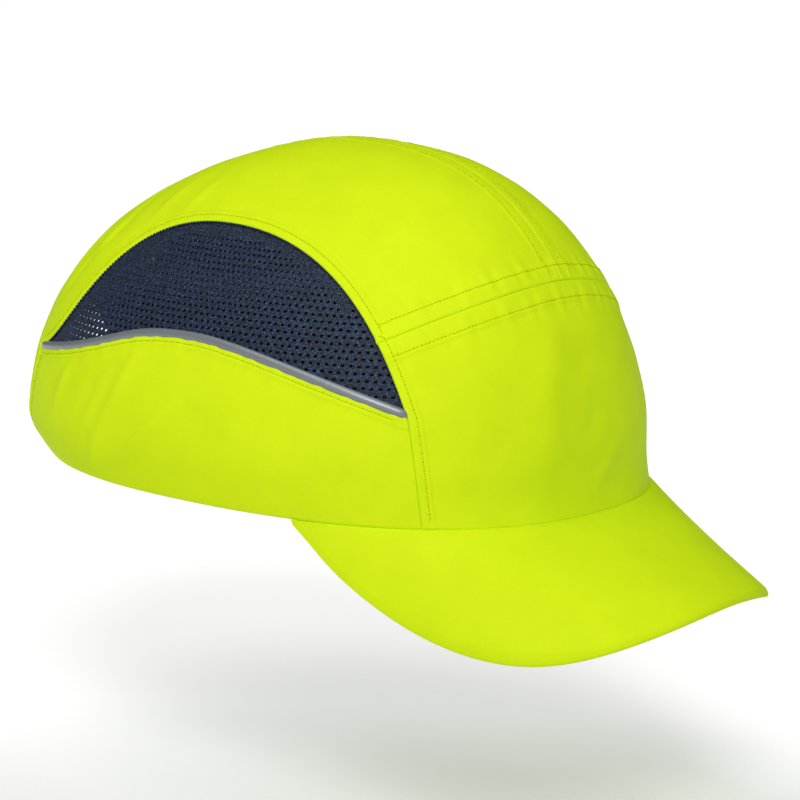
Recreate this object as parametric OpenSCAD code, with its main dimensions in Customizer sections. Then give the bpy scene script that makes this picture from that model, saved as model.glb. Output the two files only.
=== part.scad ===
// Bump cap: a baseball-style textile cap with mesh side inserts and a peak, and inside it a vented
// hard shell with foam pads. The peak points along -Y, +X is the wearer's left and +Z is up. The
// origin is the centre of the head opening, and the plane of the hem is Z = 0.

/* [Crown] */
// Half width of the crown at its widest
crown_side = 92; // [84:1:98]
// Reach of the crown to the front of the origin
crown_front = 105; // [98:1:112]
// Reach of the crown to the rear of the origin
crown_rear = 118; // [108:1:124]
// Height of the crown over the hem
crown_h = 114; // [106:1:122]
// Height of the widest line over the hem
widest_z = 14; // [10:1:18]
// Squareness of the crown seen from above, 2 being an ellipse
corner_n = 2.35; // [2:0.05:2.8]

/* [Peak] */
// Reach of the peak out of the hem at its centre
peak_reach = 50.8; // [40:0.2:60]
// Fall of the peak at its centre
peak_fall = 20.8; // [16:0.1:26]
// Angle from the front to where the peak leaves the hem
peak_half_angle = 62.4; // [56:0.2:66]
// Thickness of the stiff board in the peak
board_t = 1.4; // [1:0.1:2]

/* [Panels] */
// Thickness of the panel cloth
cloth_t = 0.9; // [0.6:0.1:1]
// Height of the seam over the forehead at the centre
front_seam_z = 73.7; // [68:0.1:78]
// Angle from the front to the side seam at the hem
side_seam_angle = 38.5; // [36:0.5:41]
// Angle from the front to the rear seam at the hem
rear_seam_angle = 145; // [143:0.5:148]
// Height of the top of the mesh insert
mesh_top_z = 87.5; // [84:0.1:90]
// Height of the piping at its highest
piping_top_z = 52.3; // [49:0.1:55]
// Width of the reflective piping
piping_w = 2.6; // [2:0.1:3]

/* [Rear opening] */
// Half width of the rear arch at its binding
arch_w = 40; // [37:1:42]
// Height of the rear arch at its binding
arch_h = 52; // [48:1:54]
// Height of the upright stretch of the arch
arch_straight = 18; // [14:1:20]
// Height of the adjuster straps
strap_h = 20; // [16:1:22]

/* [Hard shell] */
// Thickness of the hard shell
shell_t = 2.2; // [1.8:0.2:2.4]
// Height of the shell rim at the front and sides
shell_rim_front = 40; // [38:1:46]
// Height of the shell rim at the rear
shell_rim_rear = 62; // [60:1:68]
// Thickness of the foam pads
pad_t = 5; // [3:0.5:6]

/* [Hidden] */

// Colours
yellow = "#d0f200";
navy = "#1f2a44";
silver = "#a9adb3";
black = "#1c1c1e";
grey = "#5a5d61";

// Peak: thickness of the cloth on each of its faces, the gap from there to the board, and how far
// its sides spread as a share of the angle they stand at
cover_t = 0.7;
cover_gap = 0.1;
peak_spread = 0.14;
// Further fall of the peak towards its corners, as factors of s squared and to the fourth power
peak_fall_2 = 48.4;
peak_fall_4 = 2.2;

// Depths under the outer face of the crown, from the outside in
tape_d = 1.3;
tape_t = 0.5;
foam_d = 1.2;
foam_t = 1.8;
band_d = 3.2;
band_t = 1.2;
shell_d = 2.4;
pad_gap = 0.7;
pad_d = shell_d + shell_t + pad_gap;
strap_d = 1.7;
strap_t = 1.2;
patch_t = 0.8;
layer_gap = 0.25;

// Profile of the crown: p and q shape the dome over the widest line, tuck is the share of the
// reach by which the wall draws in from there down to the hem
front_profile = [2.7, 1.8, -0.03];
side_profile = [1.95, 1.65, 0.015];
rear_profile = [1.6, 2.4, 0.11];
dome_h = crown_h - widest_z;
// Height that one degree of slope stands for below the widest line
z_per_degree = dome_h * PI / 180;

// Side view of the mesh insert, as [y, z]: its two corners, and how far its edges pull off them
front_corner = [-75.2, 35.2];
rear_corner = [84.8, 37.3];
mesh_crest = [8.9, mesh_top_z];
piping_crest = [1.9, piping_top_z];
mesh_front_pulls = [[-40.7, 0], [15.6, 33.7]];
mesh_rear_pulls = [[53.4, 0], [-24.2, 7.5]];
piping_front_pulls = [[-24.8, 0], [11.1, 4.9]];
piping_rear_pulls = [[34.8, 0], [-52.4, 7.3]];
front_seam_fall = 55.4;
// Share of the first and last cell that is left off at the pointed corners of the mesh
tip = 0.25;
// Slope that the half width of the piping takes up
piping_half_slope = 0.75 * piping_w / 2;
// Share of a panel that is left off at a seam
seam = 0.003;

// Shares of the way down from a corner of the mesh to the hem, closer where the wall tucks in
down_steps = [0, 0.35, 0.65, 0.82, 0.92, 1];
// Shares of the way from the top of the crown down to the edge of a crown panel
fan_steps = [0, 0.13, 0.26, 0.38, 0.5, 0.61, 0.72, 0.82, 0.9, 0.94, 0.97, 0.997];
// Numbers of cells along each stretch of the panel edges
n_mesh_front = 4;
n_mesh_mid = 9;
n_mesh_rear = 10;
n_front_seam = 7;

// ---- Crown surface ----

function share(profile, z) =
    z >= widest_z
        ? pow(max(0, 1 - pow((z - widest_z) / dome_h, profile[1])), 1 / profile[0])
        : 1 - profile[2] * pow((widest_z - z) / widest_z, 2);

function reach_side(z, d) = (crown_side - d) * share(side_profile, z);
function reach_front(z, d) = (crown_front - d) * share(front_profile, z);
function reach_rear(z, d) = (crown_rear - d) * share(rear_profile, z);

// Slope: 0 at the top of the crown, 90 at the widest line and more below it
function z_of(slope) =
    slope < 90 ? widest_z + dome_h * cos(slope) : widest_z - (slope - 90) * z_per_degree;
function slope_of(z) =
    z > widest_z ? acos(min(1, (z - widest_z) / dome_h)) : 90 + (widest_z - z) / z_per_degree;

// Point on the crown at q = [angle from the front, slope], d under the outer face
function crown_point(q, d) =
    q[1] < 0.01 ? [0, 0, crown_h - d] :
    let (
        z = z_of(q[1]),
        a = reach_side(z, d),
        b = cos(q[0]) > 0 ? reach_front(z, d) : reach_rear(z, d),
        r = pow(pow(abs(sin(q[0])) / a, corner_n) + pow(abs(cos(q[0])) / b, corner_n), -1 / corner_n)
    )
    [-r * sin(q[0]), -r * cos(q[0]),
        z > widest_z ? widest_z + (z - widest_z) * (dome_h - d) / dome_h : z];

// [angle, slope] of the point that a side view shows at [y, z], on the wearer's right
function from_side(v) =
    let (
        b = v[0] < 0 ? reach_front(v[1], 0) : reach_rear(v[1], 0),
        x = reach_side(v[1], 0) * pow(1 - pow(abs(v[0]) / b, corner_n), 1 / corner_n)
    )
    [atan2(x, -v[0]), slope_of(v[1])];

// [angle, slope] of the point that a rear view shows at [x, z], x counting to the wearer's right
function from_rear(v) =
    let (y = reach_rear(v[1], 0) * pow(1 - pow(abs(v[0]) / reach_side(v[1], 0), corner_n), 1 / corner_n))
    [atan2(v[0], -y), slope_of(v[1])];

// ---- Edge curves, as lists of [angle, slope] from the front to the rear ----

function mix(a, b, t) = a + (b - a) * t;
function steps(a, b, n) = [for (i = [0:n]) mix(a, b, i / n)];
function tail(list) = [for (i = [1:len(list) - 1]) list[i]];
function blunted(list) =
    let (last = len(list) - 1)
    [for (i = [0:last])
        i == 0 ? mix(list[0], list[1], tip) :
        i == last ? mix(list[i], list[i - 1], tip) : list[i]];

function bezier(a, b, c, d, t) =
    a * pow(1 - t, 3) + b * 3 * t * pow(1 - t, 2) + c * 3 * t * t * (1 - t) + d * t * t * t;
function edge(crest, corner, pulls, t) = bezier(crest, crest + pulls[0], corner + pulls[1], corner, t);

function mesh_front(t) = from_side(edge(mesh_crest, front_corner, mesh_front_pulls, t));
function mesh_rear(t) = from_side(edge(mesh_crest, rear_corner, mesh_rear_pulls, t));
function piping_front(t) = from_side(edge(piping_crest, front_corner, piping_front_pulls, t));
function piping_rear(t) = from_side(edge(piping_crest, rear_corner, piping_rear_pulls, t));

function front_seam(angle) = [angle, slope_of(front_seam_z - front_seam_fall * (1 - cos(angle)))];

// Share of the mesh's front edge at which the seam over the forehead meets it, found by halving
function seam_meeting(low, high, n) =
    let (mid = (low + high) / 2, q = mesh_front(mid))
    n == 0 ? mid
    : q[1] < front_seam(q[0])[1] ? seam_meeting(mid, high, n - 1)
    : seam_meeting(low, mid, n - 1);
meeting = seam_meeting(0.2, 1, 20);
meeting_angle = mesh_front(meeting)[0];

hem_slope = slope_of(0);
function down_seam(corner, angle) = [for (t = down_steps) mix(from_side(corner), [angle, hem_slope], t)];
side_seam = down_seam(front_corner, side_seam_angle);
rear_seam = down_seam(rear_corner, rear_seam_angle);
mesh_lower_front = [for (t = steps(1, meeting, n_mesh_front)) mesh_front(t)];
mesh_upper = [
    for (t = steps(meeting, 0, n_mesh_mid)) mesh_front(t),
    for (t = tail(steps(0, 1, n_mesh_rear))) mesh_rear(t)
];
piping_line = [
    for (t = steps(1, 0, n_mesh_front + n_mesh_mid)) piping_front(t),
    for (t = tail(steps(0, 1, n_mesh_rear))) piping_rear(t)
];

// The arch, from the hem up to the centre, set back by off from its binding
function arch(off) = [
    for (z = [0, 0.2, 0.5, 1] * arch_straight) from_rear([arch_w + off, z]),
    for (a = tail(steps(0, 90, 6)))
        from_rear([(arch_w + off) * cos(a), arch_straight + (arch_h + off - arch_straight) * sin(a)])
];

// ---- Solids from two layers of points ----

function is_open(open, i, j) = len([for (cell = open) if (cell == [i, j]) 1]) > 0;

// Two triangles that join the edge from a to b on the outer layer to the inner layer
function wall(a, b, inner) = [[b, a, a + inner], [b, a + inner, b + inner]];

// Faces between an outer and an inner grid of cols x rows points. With fan, row 0 is one point.
// With ring, the last column joins the first. The cells in open are left out as holes.
function slab_faces(cols, rows, fan, ring, open) =
    let (inner = cols * rows, across = ring ? cols : cols - 1)
    [for (i = [0:across - 1], j = [0:rows - 2]) if (!is_open(open, i, j))
        let (
            next = (i + 1) % cols,
            a = fan && j == 0 ? 0 : i * rows + j,
            b = fan && j == 0 ? 0 : next * rows + j,
            c = next * rows + j + 1,
            d = i * rows + j + 1,
            before = ring ? (i + cols - 1) % cols : i - 1
        )
        each [
            [a, d, c],
            [a + inner, c + inner, d + inner],
            if (a != b) each [[a, c, b], [a + inner, b + inner, c + inner]],
            if (before < 0 || is_open(open, before, j)) each wall(a, d, inner),
            if (!ring && i == cols - 2 || is_open(open, next, j)) each wall(c, b, inner),
            if (j == rows - 2 || is_open(open, i, j + 1)) each wall(d, c, inner),
            if (a != b && (j == 0 || is_open(open, i, j - 1))) each wall(b, a, inner)
        ]
    ];

module slab(outer, inner, fan = false, ring = false, open = []) {
    polyhedron(
        [for (layer = [outer, inner]) for (column = layer) each column],
        slab_faces(len(outer), len(outer[0]), fan, ring, open),
        convexity = 10
    );
}

// A slab that follows the crown: grid holds [angle, slope], d is the depth of its outer face
module layer(grid, d, t, fan = false, ring = false, open = []) {
    slab(
        [for (column = grid) [for (q = column) crown_point(q, d)]],
        [for (column = grid) [for (q = column) crown_point(q, d + t)]],
        fan, ring, open
    );
}

// Columns from one line to another, with rows at the given shares of the way
function columns(upper, lower, shares) =
    [for (i = [0:len(upper) - 1]) [for (t = shares) mix(upper[i], lower[i], t)]];

// A patch between two angles, with rows at the given heights
function patch(angles, heights, cols) =
    [for (angle = steps(angles[0], angles[1], cols)) [for (z = heights) [angle, slope_of(z)]]];

// ---- Strips and cords that follow a line on the crown ----

function unit(v) = v / norm(v);

// The way out of the crown, square to its face
function crown_normal(q) =
    let (e = 0.5)
    q[1] < 1 ? [0, 0, 1] :
    unit(cross(crown_point(q + [e, 0], 0) - crown_point(q - [e, 0], 0),
        crown_point(q + [0, e], 0) - crown_point(q - [0, e], 0)));

// A strip with the cross-section given as [across, outward] points, round the line
module strip(line, d, section) {
    n = len(line);
    k = len(section);
    centres = [for (q = line) crown_point(q, d)];
    points = [for (i = [0:n - 1])
        let (
            along = unit(centres[min(i + 1, n - 1)] - centres[max(i - 1, 0)]),
            across = unit(cross(along, crown_normal(line[i]))),
            up = cross(across, along)
        )
        for (s = section) centres[i] + across * s[0] + up * s[1]
    ];
    faces = [
        [for (j = [k - 1:-1:0]) j],
        [for (j = [0:k - 1]) (n - 1) * k + j],
        for (i = [0:n - 2], j = [0:k - 1])
            let (a = i * k + j, b = i * k + (j + 1) % k)
            each [[a, b, b + k], [a, b + k, a + k]]
    ];
    polyhedron(points, faces, convexity = 10);
}

function flat_section(w, t) = [[-w / 2, 0], [w / 2, 0], [w / 2, -t], [-w / 2, -t]];
function oval_section(w, t, n) =
    [for (i = [0:n - 1]) [w / 2 * cos(i * 360 / n), -t / 2 * sin(i * 360 / n)]];

// ---- Textile panels ----

module front_panel() {
    // The edge on the right, from the seam over the forehead down to the hem
    half = concat([for (i = [n_mesh_front:-1:1]) mesh_lower_front[i]], side_seam);
    grid = [for (w = steps(-1 + seam, 1 - seam, 20))
        [for (q = half)
            let (
                z_share = z_of(q[1]) / z_of(half[0][1]),
                seam_z = z_of(front_seam(w * meeting_angle)[1])
            )
            [w * q[0], slope_of(seam_z * z_share * (1 - seam))]]];
    color(yellow) layer(grid, 0, cloth_t);
}

module crown_panel() {
    border = concat(
        [for (angle = steps(0, meeting_angle, n_front_seam)) front_seam(angle)],
        tail(mesh_upper),
        tail(rear_seam),
        steps([rear_seam_angle + 2, hem_slope], [arch(1.7)[0][0] - 2, hem_slope], 2),
        arch(1.7)
    );
    grid = [for (q = border) [for (t = fan_steps) [q[0], q[1] * t]]];
    color(yellow) translate([-0.1, 0, 0]) layer(grid, 0, cloth_t, fan = true);
}

module side_panel() {
    lower = steps([side_seam_angle + 0.1, hem_slope], [rear_seam_angle - 0.1, hem_slope],
        len(piping_line) - 1);
    upper = [for (q = piping_line) [q[0], q[1] + piping_half_slope]];
    color(yellow) layer(columns(upper, lower, down_steps), 0, cloth_t);
}

module mesh_insert() {
    upper = blunted(concat(mesh_lower_front, tail(mesh_upper)));
    lower = blunted([for (q = piping_line) [q[0], q[1] - piping_half_slope]]);
    color(navy) layer(columns(upper, lower, steps(0.012, 1, 5)), 0.1, cloth_t - 0.2);
}

module reflective_piping() {
    color(silver) strip(blunted(piping_line), 0.1, oval_section(piping_w, 2.2, 8));
}

// ---- Peak ----

// Reach and fall of the peak at s, which runs from -1 to 1 along the hem
function peak_share(s) = pow(1 - pow(abs(s), 4.25), 1.09);
function peak_drop(s) = (peak_fall + peak_fall_2 * s * s + peak_fall_4 * pow(s, 4)) * peak_share(s);

function peak_top(s, t) =
    let (
        foot = crown_point([s * peak_half_angle, hem_slope], 0),
        angle = -s * peak_half_angle * peak_spread,
        reach = peak_reach * peak_share(s) * t
    )
    foot + [-sin(angle) * reach, -cos(angle) * reach, -peak_drop(s) * t];

// One layer of the peak, stacked straight down; its inner edge runs in under the hem
module peak_layer(depth, t, inset) {
    // Depth straight down for each unit of thickness of the sloping peak
    lean = 1.1;
    function side(depth) = [for (s = steps(0.99, -0.99, 26))
        concat(
            [crown_point([s * peak_half_angle, hem_slope], cloth_t) - [0, 0, 0.25 + depth * lean]],
            [for (v = steps(0.02, 1 - inset, 5)) peak_top(s, v) - [0, 0, depth * lean]]
        )];
    slab(side(depth), side(depth + t));
}

module peak_top_cover() {
    color(yellow) peak_layer(0, cover_t, 0);
}

module peak_board() {
    color(grey) peak_layer(cover_t + cover_gap, board_t, 0.03);
}

module peak_under_cover() {
    color(yellow) peak_layer(cover_t + board_t + 2 * cover_gap, cover_t, 0);
}

// ---- Linings and tapes ----

module sweatband() {
    color(black) layer(patch([-151, 151], [34, 20, 12, 7, 2], 40), band_d, band_t);
}

module sweatband_foam() {
    color(grey) layer(patch([-110, 110], [31, 18, 10, 5], 28), foam_d, foam_t);
}

module centre_seam_tape() {
    line = concat(
        [for (slope = steps(front_seam(0)[1] - 4, 8, 5)) [0, slope]],
        [[0, 0]],
        [for (slope = steps(8, slope_of(arch_h + 4), 9)) [180, slope]]
    );
    color(black) strip(line, tape_d, flat_section(12, tape_t));
}

module front_seam_tape() {
    line = [for (angle = steps(-meeting_angle + 4, meeting_angle - 4, 18)) front_seam(angle)];
    color(black) strip(line, tape_d, flat_section(11, tape_t));
}

module mesh_seam_tape() {
    line = [for (i = [2:len(mesh_upper) - 2]) mesh_upper[i]];
    color(black) strip(line, tape_d, flat_section(8, tape_t));
}

module rear_arch_binding() {
    half = arch(0);
    line = concat(half, [for (i = [len(half) - 2:-1:0]) [-half[i][0], half[i][1]]]);
    color(yellow) strip(line, 0.45, oval_section(3.2, 2, 8));
}

// ---- Hook-and-loop adjuster ----

strap_z = [4 + strap_h, 4];
// Shares of a strap's height between which it and its patches lie
strap_span = [0, 1];
patch_span = [0.1, 0.9];
// Reach of each strap from the centre of the rear, and where the hook strap folds
hinge_x = 34.5;
fold_r = 1.2;
hook_end = 26;
loop_end = 24;
root_end = 49;
// Stretch on the wearer's left over which the loop strap sinks in behind the hook strap
sink_from = 38;
sink_w = 10;

// A band across the rear from x0 to x1, which count to the wearer's right. It is straight from its
// upper to its lower edge, and sinks from depth d0 to d1 as it comes off the wearer's left.
module rear_band(x0, x1, span, d0, d1, t, cols) {
    function side(extra) = [for (x = steps(x0, x1, cols))
        let (
            d = mix(d0, d1, min(1, max(0, (x + sink_from) / sink_w))) + extra,
            ends = [for (z = strap_z) crown_point(from_rear([abs(x), z]), d)]
        )
        [for (share = span) let (p = mix(ends[0], ends[1], share)) x < 0 ? [-p[0], p[1], p[2]] : p]];
    slab(side(0), side(t));
}

stack_d = strap_d + strap_t + layer_gap;

module loop_strap() {
    deep = stack_d + 2 * patch_t + 2 * layer_gap;
    color(black) rear_band(loop_end, -root_end, strap_span, strap_d, deep, strap_t, 18);
}

module loop_patch() {
    color(grey) rear_band(loop_end - 2, -22, patch_span, 0, stack_d + patch_t + layer_gap, patch_t, 12);
}

module hook_strap_root() {
    color(black) rear_band(root_end, hinge_x + fold_r + 0.8, strap_span, strap_d, strap_d, strap_t, 4);
}

// The fold that the strap peels about lies along the wall, which leans back as it rises
fold_head = crown_point(from_rear([hinge_x, strap_z[0]]), strap_d + strap_t / 2);
fold_foot = crown_point(from_rear([hinge_x, strap_z[1]]), strap_d + strap_t / 2);
fold_lean = -atan2(fold_head[1] - fold_foot[1], fold_head[2] - fold_foot[2]);
fold_skew = atan2(fold_head[0] - fold_foot[0], fold_head[2] - fold_foot[2]);

module strap_fold() {
    color(black) translate(fold_foot) rotate([fold_lean, fold_skew, 0])
        cylinder(r = fold_r, h = norm(fold_head - fold_foot), $fn = 32);
}

module hook_strap() {
    color(black) rear_band(hinge_x - fold_r - 0.2, -hook_end, strap_span, strap_d, strap_d, strap_t, 16);
}

module hook_patch() {
    color(grey) rear_band(20, -hook_end + 2, patch_span, stack_d, stack_d, patch_t, 12);
}

// ---- Hard shell and its pads ----

shell_cols = 40;
shell_rows = 10;

// Height of the shell rim: level round the front and sides, and rising to clear the rear arch
rim_rise_from = 100;
rim_rise_w = 45;
function rim_z(angle) =
    let (s = min(1, max(0, (abs(angle) - rim_rise_from) / rim_rise_w)))
    mix(shell_rim_front, shell_rim_rear, s * s * (3 - 2 * s));

module inner_shell() {
    grid = [for (i = [0:shell_cols - 1])
        let (angle = i * 360 / shell_cols, rim = slope_of(rim_z(angle > 180 ? 360 - angle : angle)))
        [for (j = [0:shell_rows]) [angle, rim * j / shell_rows]]];
    // Long vents between the pads, and a ring of short ones higher up
    vents = [
        for (i = [3, 13, 26, 36]) each [[i, 6], [i, 7]],
        for (i = [5, 15, 24, 34]) each [[i, 5], [i, 6]],
        for (i = [1, 8, 11, 18, 21, 28, 31, 38]) [i, 4]
    ];
    color(black) layer(grid, shell_d, shell_t, fan = true, ring = true, open = vents);
}

module crown_pad() {
    grid = [for (i = [0:23]) [for (slope = [0, 9, 18, 26]) [i * 15, slope]]];
    color(grey) layer(grid, pad_d, pad_t, fan = true, ring = true);
}

module front_pad() {
    color(grey) layer(patch([-30, 30], steps(80, 46, 4), 10), pad_d, pad_t);
}

module rear_pad() {
    color(grey) layer(patch([152, 208], steps(96, 68, 4), 8), pad_d, pad_t);
}

module side_pad() {
    color(grey) layer(patch([68, 106], steps(80, 54, 4), 7), pad_d, pad_t);
}

module left() {
    mirror([1, 0, 0]) children();
}

front_panel();
left() crown_panel();  // crown_panel_left
crown_panel();  // crown_panel_right
left() side_panel();  // side_panel_left
side_panel();  // side_panel_right
left() mesh_insert();  // mesh_insert_left
mesh_insert();  // mesh_insert_right
left() reflective_piping();  // reflective_piping_left
reflective_piping();  // reflective_piping_right
peak_top_cover();
peak_board();
peak_under_cover();
sweatband();
sweatband_foam();
centre_seam_tape();
front_seam_tape();
left() mesh_seam_tape();  // mesh_seam_tape_left
mesh_seam_tape();  // mesh_seam_tape_right
rear_arch_binding();
loop_strap();
loop_patch();
hook_strap_root();
strap_fold();
hook_strap();
hook_patch();
inner_shell();
crown_pad();
front_pad();
rear_pad();
left() side_pad();  // side_pad_left
side_pad();  // side_pad_right
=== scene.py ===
"""A bump cap on a pale floor: textile cap, reflective piping, mesh inserts, hard shell and pads.

Lengths in this file are millimetres until a piece is made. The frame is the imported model's: the peak
points along -Y, +X is the wearer's left, and the hem lies at Z = 0.
"""

import math

import bmesh
import bpy
import numpy as np
from mathutils import Matrix, Vector
from mathutils.bvhtree import BVHTree


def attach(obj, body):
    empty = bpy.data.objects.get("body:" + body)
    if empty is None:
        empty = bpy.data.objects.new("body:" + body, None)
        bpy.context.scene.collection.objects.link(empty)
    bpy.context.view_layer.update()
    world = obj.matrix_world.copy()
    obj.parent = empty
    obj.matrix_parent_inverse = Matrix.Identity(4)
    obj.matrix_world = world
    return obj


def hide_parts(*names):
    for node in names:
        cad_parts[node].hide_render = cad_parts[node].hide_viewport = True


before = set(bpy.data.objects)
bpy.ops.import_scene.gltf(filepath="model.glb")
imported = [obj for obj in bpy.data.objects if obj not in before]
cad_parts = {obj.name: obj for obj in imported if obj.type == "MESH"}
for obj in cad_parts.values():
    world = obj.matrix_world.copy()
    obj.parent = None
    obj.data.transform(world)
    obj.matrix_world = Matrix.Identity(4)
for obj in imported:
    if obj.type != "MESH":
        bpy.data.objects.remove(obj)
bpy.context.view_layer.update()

MM = 0.001
UP = np.array((0, 0, 1.0))

# ---- Driving dimensions, the same as the CAD model's ----

CROWN_SIDE, CROWN_FRONT, CROWN_REAR, CROWN_H = 92, 105, 118, 114
WIDEST_Z = 14
CORNER_N = 2.35
DOME_H = CROWN_H - WIDEST_Z
# p and q of the dome, and how far the wall draws in from the widest line down to the hem
FRONT_PROFILE = (2.7, 1.8, -0.03)
SIDE_PROFILE = (1.95, 1.65, 0.015)
REAR_PROFILE = (1.6, 2.4, 0.11)
Z_PER_DEGREE = DOME_H * math.pi / 180

CLOTH_T = 0.9
FRONT_SEAM_Z, FRONT_SEAM_FALL = 73.7, 55.4
SIDE_SEAM_ANGLE, REAR_SEAM_ANGLE = 38.5, 145
# Side view of the mesh insert, as (y, z)
FRONT_CORNER, REAR_CORNER = np.array((-75.2, 35.2)), np.array((84.8, 37.3))
SEAM_BEND = np.array((-75.9, 33.8))
MESH_CREST, PIPING_CREST = np.array((8.9, 87.5)), np.array((1.9, 52.3))

PEAK_HALF_ANGLE, PEAK_REACH, PEAK_FALL = 62.4, 50.8, 20.8
ARCH_W, ARCH_H, ARCH_STRAIGHT = 40, 52, 18
STRAP_TOP, STRAP_FOOT = 24, 4
STRAP_D, STRAP_T, PATCH_T, LAYER_GAP = 1.7, 1.2, 0.8, 0.25
HINGE_X, HOOK_END, LOOP_END, ROOT_END = 34.5, 26, 24, 49
SHELL_D, SHELL_T = 2.4, 2.2
SHELL_RIM_FRONT, SHELL_RIM_REAR = 40, 62
RIM_RISE_FROM, RIM_RISE_W = 100, 45
PAD_D, PAD_T = 5.3, 5
BAND_D, BAND_T = 3.2, 1.2


# ---- Crown surface ----

def share(profile, z):
    """Share of the widest reach that the wall has at height z."""
    p, q, tuck = profile
    dome = np.clip((z - WIDEST_Z) / DOME_H, 0, 1)
    upper = np.clip(1 - dome ** q, 0, 1) ** (1 / p)
    lower = 1 - tuck * ((WIDEST_Z - z) / WIDEST_Z) ** 2
    return np.where(z >= WIDEST_Z, upper, lower)


def slope_of(z):
    """0 at the top of the crown, 90 at the widest line and more below it."""
    z = np.asarray(z, float)
    dome = np.degrees(np.arccos(np.clip((z - WIDEST_Z) / DOME_H, 0, 1)))
    return np.where(z >= WIDEST_Z, dome, 90 + (WIDEST_Z - z) / Z_PER_DEGREE)


def z_of(slope):
    return np.where(slope < 90, WIDEST_Z + DOME_H * np.cos(np.radians(slope)),
                    WIDEST_Z - (slope - 90) * Z_PER_DEGREE)


def reaches(ahead, z, depth=0.0):
    """The wall's reach at height z: to the side, then to the front where ahead is true, else to the rear."""
    front, rear = ((size - depth) * share(profile, z)
                   for size, profile in ((CROWN_FRONT, FRONT_PROFILE), (CROWN_REAR, REAR_PROFILE)))
    return (CROWN_SIDE - depth) * share(SIDE_PROFILE, z), np.where(ahead, front, rear)


def crown(angle, slope, depth=0.0):
    """Points at an angle from the front and a slope, at a depth under the outer face of the crown."""
    angle, slope, depth = np.broadcast_arrays(np.asarray(angle, float), np.asarray(slope, float), depth)
    z = z_of(np.maximum(slope, 0.05))
    sine, cosine = np.sin(np.radians(angle)), np.cos(np.radians(angle))
    a, b = reaches(cosine > 0, z, depth)
    reach = ((np.abs(sine) / a) ** CORNER_N + (np.abs(cosine) / b) ** CORNER_N) ** (-1 / CORNER_N)
    high = np.where(z > WIDEST_Z, WIDEST_Z + (z - WIDEST_Z) * (DOME_H - depth) / DOME_H, z)
    return np.stack([-reach * sine, -reach * cosine, high], -1)


def place_of(points):
    """Angle and slope of points on the outer face."""
    return np.degrees(np.arctan2(-points[..., 0], -points[..., 1])), slope_of(points[..., 2])


def unit(v):
    return v / np.maximum(np.linalg.norm(v, axis=-1, keepdims=True), 1e-9)


def normal_at(points):
    """The way out of the crown at points near its outer face."""
    angle, slope = place_of(points)
    slope = np.maximum(slope, 2)
    along = crown(angle + 0.3, slope) - crown(angle - 0.3, slope)
    down = crown(angle, slope + 0.3) - crown(angle, slope - 0.3)
    out = unit(np.cross(along, down))
    top = np.clip((points[..., 2:3] - CROWN_H + 0.6) / 0.5, 0, 1)
    return unit(out * (1 - top) + UP * top)


CENTRE = np.array((0, 4.0, 22.0))


def project(points):
    """Points moved straight away from the middle of the head until they lie on the outer face."""
    ray = points - CENTRE
    low, high = np.full(ray.shape[:-1], 0.3), np.full(ray.shape[:-1], 3.0)
    for _ in range(34):
        middle = (low + high) / 2
        x, y, z = np.moveaxis(CENTRE + ray * middle[..., None], -1, 0)
        a, b = np.maximum(reaches(y < 0, z), 1e-6)
        outside = (np.abs(x) / a) ** CORNER_N + (np.abs(y) / b) ** CORNER_N > 1
        outside |= z >= CROWN_H
        low, high = np.where(outside, low, middle), np.where(outside, middle, high)
    return CENTRE + ray * low[..., None]


# ---- Lines on the crown, on the wearer's right ----

def bezier(a, b, c, d, t):
    t = np.asarray(t)[:, None]
    return a * (1 - t) ** 3 + b * 3 * t * (1 - t) ** 2 + c * 3 * t * t * (1 - t) + d * t ** 3


def from_side(yz):
    """Points on the wearer's right that a side view shows at (y, z)."""
    y, z = yz[:, 0], yz[:, 1]
    a, b = reaches(y < 0, z)
    x = a * (1 - (np.abs(y) / b) ** CORNER_N) ** (1 / CORNER_N)
    return np.stack([-x, y, z], -1)


def from_rear(x, z, depth=0.0):
    """Points that a rear view shows at (x, z), x counting to the wearer's right."""
    x, z = np.broadcast_arrays(np.asarray(x, float), np.asarray(z, float))
    a, b = reaches(False, z)
    y = b * (1 - (np.abs(x) / a) ** CORNER_N) ** (1 / CORNER_N)
    return crown(np.degrees(np.arctan2(x, -y)), slope_of(z), depth)


def side_curve(crest, corner, pulls, t):
    return from_side(bezier(crest, crest + pulls[0], corner + pulls[1], corner, t))


def front_seam(angle):
    return crown(angle, slope_of(FRONT_SEAM_Z - FRONT_SEAM_FALL * (1 - np.cos(np.radians(angle)))))


def distances(line):
    """How far along a line each of its points is."""
    return np.concatenate([[0], np.cumsum(np.linalg.norm(np.diff(line, axis=0), axis=1))])


def between(where, at, values):
    """Vectors at places between those where the values are known."""
    return np.stack([np.interp(where, at, values[:, k]) for k in range(3)], -1)


def resample(line, shares):
    """Points at shares of the length of a line."""
    at = distances(line)
    return between(np.asarray(shares) * at[-1], at, line)


def length_of(line):
    return float(np.linalg.norm(np.diff(line, axis=0), axis=1).sum())


def joined(*lines):
    return np.concatenate([lines[0]] + [line[1:] for line in lines[1:]])


FINE = np.linspace(0, 1, 121)
mesh_front = side_curve(MESH_CREST, FRONT_CORNER, np.array(((-40.65, 0), (15.6, 33.7))), FINE)[::-1]
mesh_rear = side_curve(MESH_CREST, REAR_CORNER, np.array(((53.4, 0), (-24.2, 7.5))), FINE)
mesh_edge = joined(mesh_front, mesh_rear)
piping_front = side_curve(PIPING_CREST, FRONT_CORNER, np.array(((-24.8, 0), (11.1, 4.9))), FINE)[::-1]
piping_rear = side_curve(PIPING_CREST, REAR_CORNER, np.array(((34.8, 0), (-52.4, 7.3))), FINE)
piping = joined(piping_front, piping_rear)

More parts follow.
